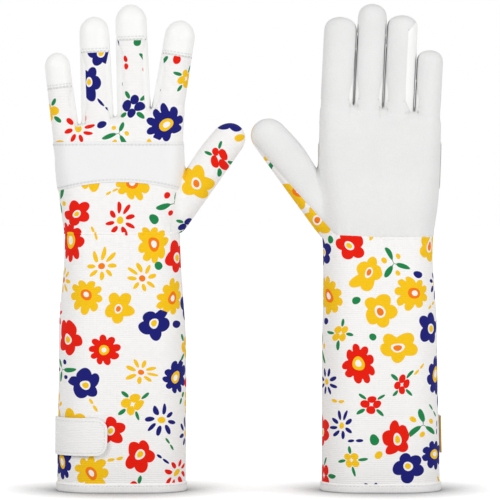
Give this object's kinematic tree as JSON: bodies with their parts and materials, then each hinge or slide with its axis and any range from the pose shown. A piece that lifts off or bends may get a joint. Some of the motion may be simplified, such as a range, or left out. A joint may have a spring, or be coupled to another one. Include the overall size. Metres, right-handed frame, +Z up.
{
  "type": "gardening gloves",
  "caption": "A pair of long-cuffed gardening gloves with printed fabric backs, grey leather palms, white leather fingertips and knuckle guards, and tall canvas gauntlets with a closing tab.",
  "frame": {"origin": "middle of the bounding box on the surface that the hems stand on", "axes": "+Z up along the gloves from hem to fingertips, +X from the glove seen from its back to the glove seen from its palm, +Y away from the viewer"},
  "size_m": [0.3365, 0.07, 0.4099],
  "materials": {
    "printed_canvas": "heavy cotton canvas with a dense printed flower pattern",
    "printed_fabric": "cotton fabric with the same printed flower pattern",
    "white_binding": "folded cotton tape, stitched",
    "loop_tape": "soft loop tape",
    "hook_tape": "woven hook tape with small plastic hooks",
    "strap_webbing": "white webbing tab with stitched edges",
    "wrist_gather": "printed fabric gathered on elastic",
    "white_leather": "smooth white leather",
    "grey_leather": "light grey goat leather with fine grain"
  },
  "bodies": {
    "glove_a_gauntlet": {"glove_a_gauntlet_back": "printed_canvas", "glove_a_gauntlet_front": "printed_canvas", "glove_a_hem_binding": "white_binding", "glove_a_loop_pad": "loop_tape", "glove_a_wrist_elastic": "wrist_gather"},
    "glove_a_hand": {"glove_a_palm": "grey_leather", "glove_a_hand_back": "printed_fabric", "glove_a_knuckle_patch": "white_leather", "glove_a_finger_root_back": "printed_fabric", "glove_a_finger_webs": "white_leather"},
    "glove_a_tab": {"glove_a_strap": "strap_webbing", "glove_a_hook_pad": "hook_tape"},
    "glove_a_index": {"glove_a_index_front": "grey_leather", "glove_a_index_back": "printed_fabric", "glove_a_index_cap": "white_leather", "glove_a_index_side": "white_leather"},
    "glove_a_middle": {"glove_a_middle_front": "grey_leather", "glove_a_middle_back": "printed_fabric", "glove_a_middle_cap": "white_leather", "glove_a_middle_side": "white_leather"},
    "glove_a_ring": {"glove_a_ring_front": "grey_leather", "glove_a_ring_back": "printed_fabric", "glove_a_ring_cap": "white_leather", "glove_a_ring_side": "white_leather"},
    "glove_a_little": {"glove_a_little_front": "grey_leather", "glove_a_little_back": "printed_fabric", "glove_a_little_cap": "white_leather", "glove_a_little_side": "white_leather"},
    "glove_a_thumb": {"glove_a_thumb_front": "grey_leather", "glove_a_thumb_back": "printed_fabric"},
    "glove_b_gauntlet": {"glove_b_gauntlet_back": "printed_canvas", "glove_b_gauntlet_front": "printed_canvas", "glove_b_hem_binding": "white_binding", "glove_b_loop_pad": "loop_tape", "glove_b_wrist_elastic": "wrist_gather"},
    "glove_b_hand": {"glove_b_palm": "grey_leather", "glove_b_hand_back": "printed_fabric", "glove_b_knuckle_patch": "white_leather", "glove_b_finger_root_back": "printed_fabric", "glove_b_finger_webs": "white_leather"},
    "glove_b_tab": {"glove_b_strap": "strap_webbing", "glove_b_hook_pad": "hook_tape"},
    "glove_b_index": {"glove_b_index_front": "grey_leather", "glove_b_index_back": "printed_fabric", "glove_b_index_cap": "white_leather", "glove_b_index_side": "white_leather"},
    "glove_b_middle": {"glove_b_middle_front": "grey_leather", "glove_b_middle_back": "printed_fabric", "glove_b_middle_cap": "white_leather", "glove_b_middle_side": "white_leather"},
    "glove_b_ring": {"glove_b_ring_front": "grey_leather", "glove_b_ring_back": "printed_fabric", "glove_b_ring_cap": "white_leather", "glove_b_ring_side": "white_leather"},
    "glove_b_little": {"glove_b_little_front": "grey_leather", "glove_b_little_back": "printed_fabric", "glove_b_little_cap": "white_leather", "glove_b_little_side": "white_leather"},
    "glove_b_thumb": {"glove_b_thumb_front": "grey_leather", "glove_b_thumb_back": "printed_fabric"}
  },
  "joints": [
    {"name": "glove_a_wrist", "type": "hinge", "parent": "glove_a_gauntlet", "child": "glove_a_hand", "pos_m": [-0.103, 0, 0.2175], "axis": [-1, 0, 0], "range_deg": [-30, 30], "deforming": ["glove_a_wrist_elastic"]},
    {"name": "glove_a_tab_peel", "type": "hinge", "parent": "glove_a_gauntlet", "child": "glove_a_tab", "pos_m": [-0.1588, 0.0004, 0.04725], "axis": [0, 0, -1], "range_deg": [0, 80]},
    {"name": "glove_a_index_curl", "type": "hinge", "parent": "glove_a_hand", "child": "glove_a_index", "pos_m": [-0.06244, 0.01, 0.33134], "axis": [-0.9866, 0, 0.1633], "range_deg": [0, 85]},
    {"name": "glove_a_middle_curl", "type": "hinge", "parent": "glove_a_hand", "child": "glove_a_middle", "pos_m": [-0.09278, 0.01, 0.33149], "axis": [-0.9995, 0, -0.0314], "range_deg": [0, 85]},
    {"name": "glove_a_ring_curl", "type": "hinge", "parent": "glove_a_hand", "child": "glove_a_ring", "pos_m": [-0.12354, 0.01, 0.32699], "axis": [-0.9993, 0, -0.0366], "range_deg": [0, 85]},
    {"name": "glove_a_little_curl", "type": "hinge", "parent": "glove_a_hand", "child": "glove_a_little", "pos_m": [-0.15186, 0.01, 0.31791], "axis": [-0.9925, 0, -0.1219], "range_deg": [0, 85]},
    {"name": "glove_a_thumb_curl", "type": "hinge", "parent": "glove_a_hand", "child": "glove_a_thumb", "pos_m": [-0.02796, 0.0115, 0.27423], "axis": [-0.8121, 0, 0.5835], "range_deg": [0, 65]},
    {"name": "gloves_apart", "type": "slide", "parent": "glove_a_gauntlet", "child": "glove_b_gauntlet", "axis": [1, 0, 0], "range_m": [0, 0.15]},
    {"name": "glove_b_wrist", "type": "hinge", "parent": "glove_b_gauntlet", "child": "glove_b_hand", "pos_m": [0.1137, 0, 0.2175], "axis": [1, 0, 0], "range_deg": [-30, 30], "deforming": ["glove_b_wrist_elastic"]},
    {"name": "glove_b_tab_peel", "type": "hinge", "parent": "glove_b_gauntlet", "child": "glove_b_tab", "pos_m": [0.1665, -0.0004, 0.04725], "axis": [0, 0, -1], "range_deg": [0, 80]},
    {"name": "glove_b_index_curl", "type": "hinge", "parent": "glove_b_hand", "child": "glove_b_index", "pos_m": [0.07846, -0.01, 0.33569], "axis": [0.9989, 0, -0.0471], "range_deg": [0, 85]},
    {"name": "glove_b_middle_curl", "type": "hinge", "parent": "glove_b_hand", "child": "glove_b_middle", "pos_m": [0.10526, -0.01, 0.33569], "axis": [0.9989, 0, -0.0471], "range_deg": [0, 85]},
    {"name": "glove_b_ring_curl", "type": "hinge", "parent": "glove_b_hand", "child": "glove_b_ring", "pos_m": [0.13076, -0.01, 0.33399], "axis": [0.9989, 0, -0.0471], "range_deg": [0, 85]},
    {"name": "glove_b_little_curl", "type": "hinge", "parent": "glove_b_hand", "child": "glove_b_little", "pos_m": [0.15437, -0.01, 0.32899], "axis": [0.9989, 0, -0.0471], "range_deg": [0, 85]},
    {"name": "glove_b_thumb_curl", "type": "hinge", "parent": "glove_b_hand", "child": "glove_b_thumb", "pos_m": [0.03917, -0.0115, 0.2738], "axis": [0.8039, 0, 0.5948], "range_deg": [0, 65]}
  ]
}
